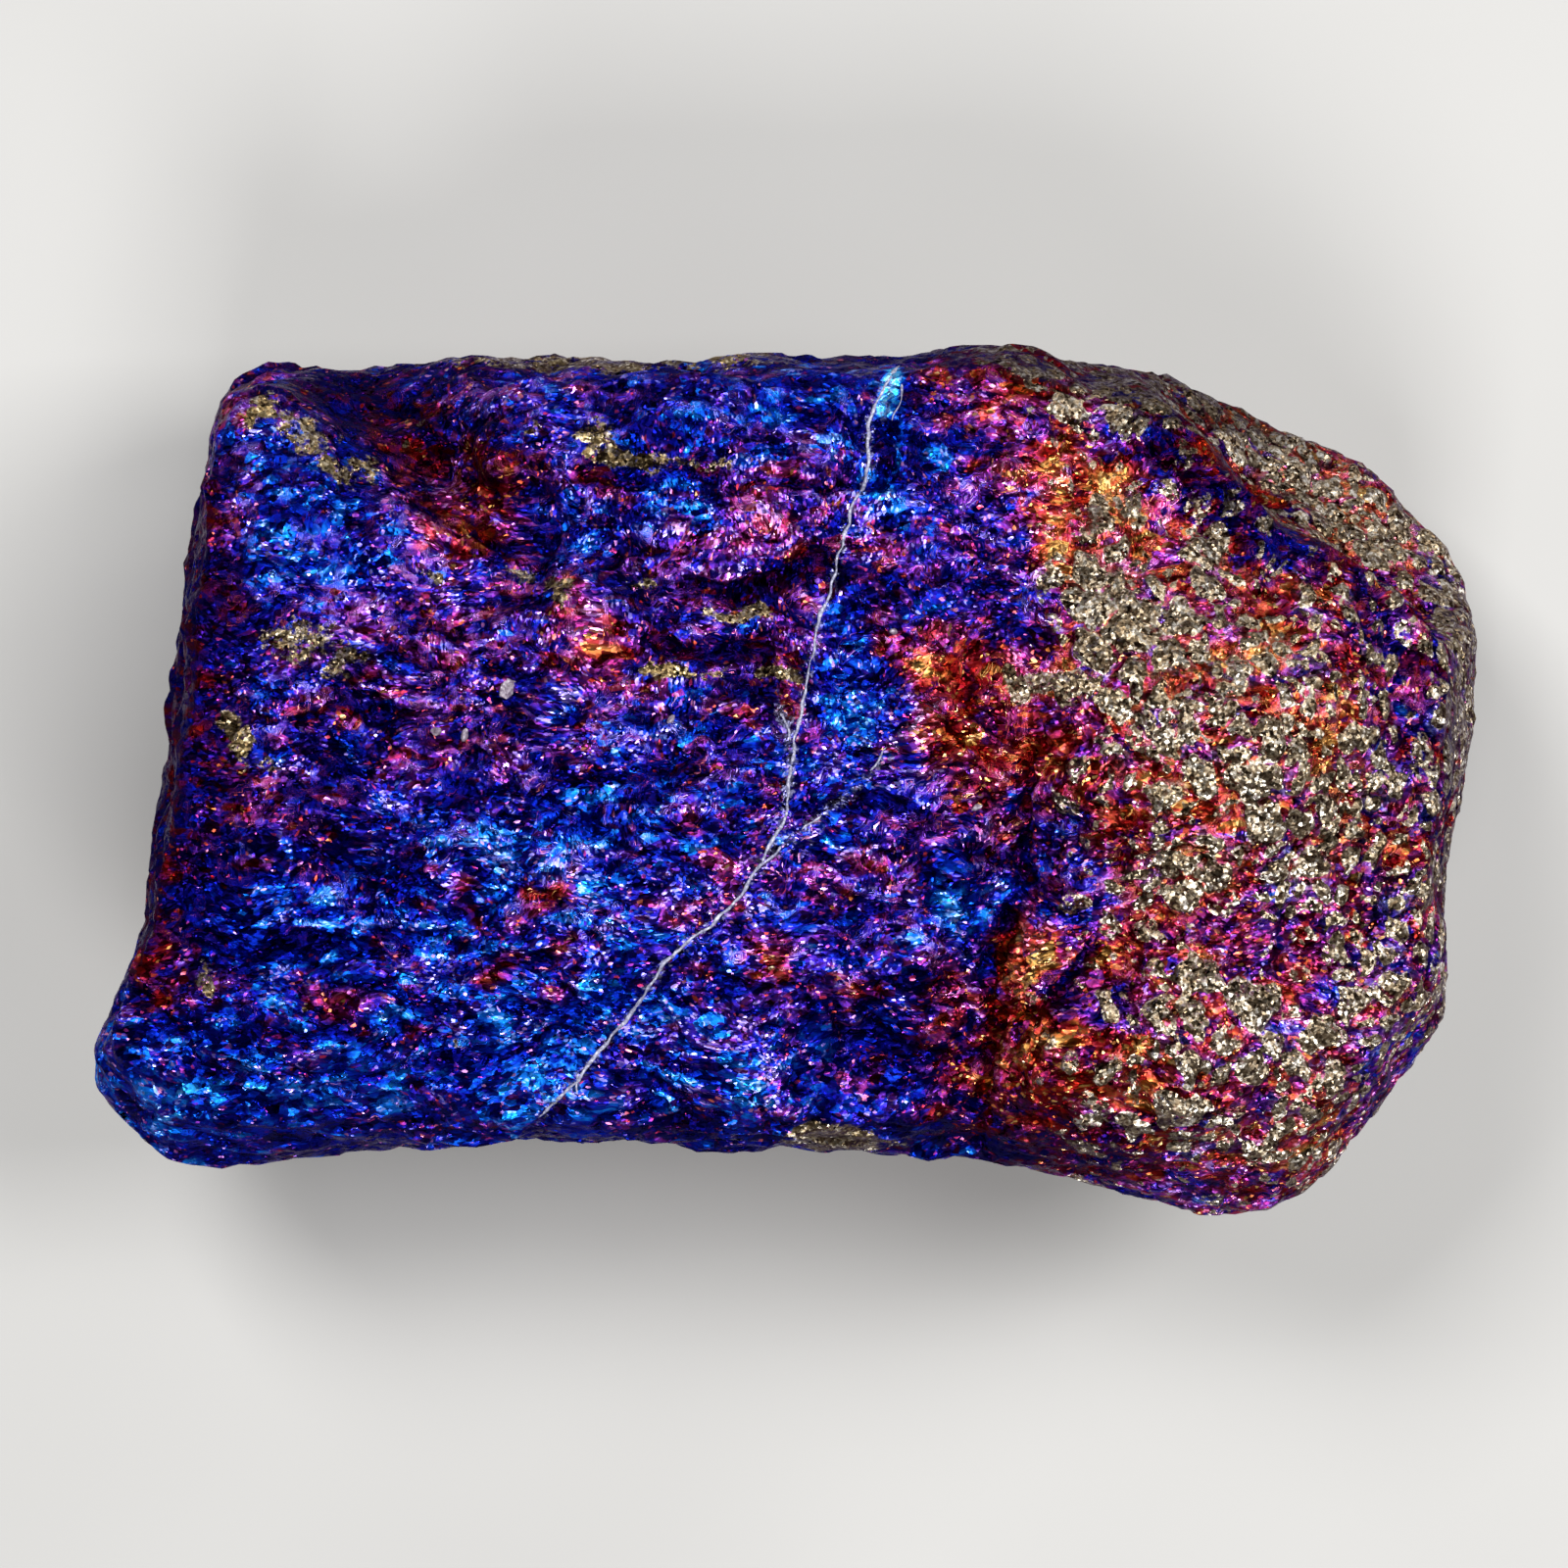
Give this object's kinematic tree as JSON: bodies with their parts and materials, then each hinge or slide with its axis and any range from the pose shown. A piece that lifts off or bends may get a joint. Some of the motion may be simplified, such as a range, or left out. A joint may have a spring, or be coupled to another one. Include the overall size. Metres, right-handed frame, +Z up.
{
  "type": "peacock ore specimen",
  "caption": "Broken lump of tarnished copper ore that lies on a flat base, with a ridged, iridescent upper face, a grainy rounded end and a thin pale vein.",
  "frame": {"origin": "centre of the bounding box, on the surface that the lump lies on", "axes": "+X along the lump's length toward its grainy end, +Y across it, +Z up through the coloured face"},
  "size_m": [0.062, 0.0386, 0.0265],
  "materials": {
    "tarnished_ore": "metallic iridescent tarnish, blue, violet and magenta, with bare brassy grains"
  },
  "bodies": {
    "root": {"ore": "tarnished_ore"}
  },
  "joints": []
}
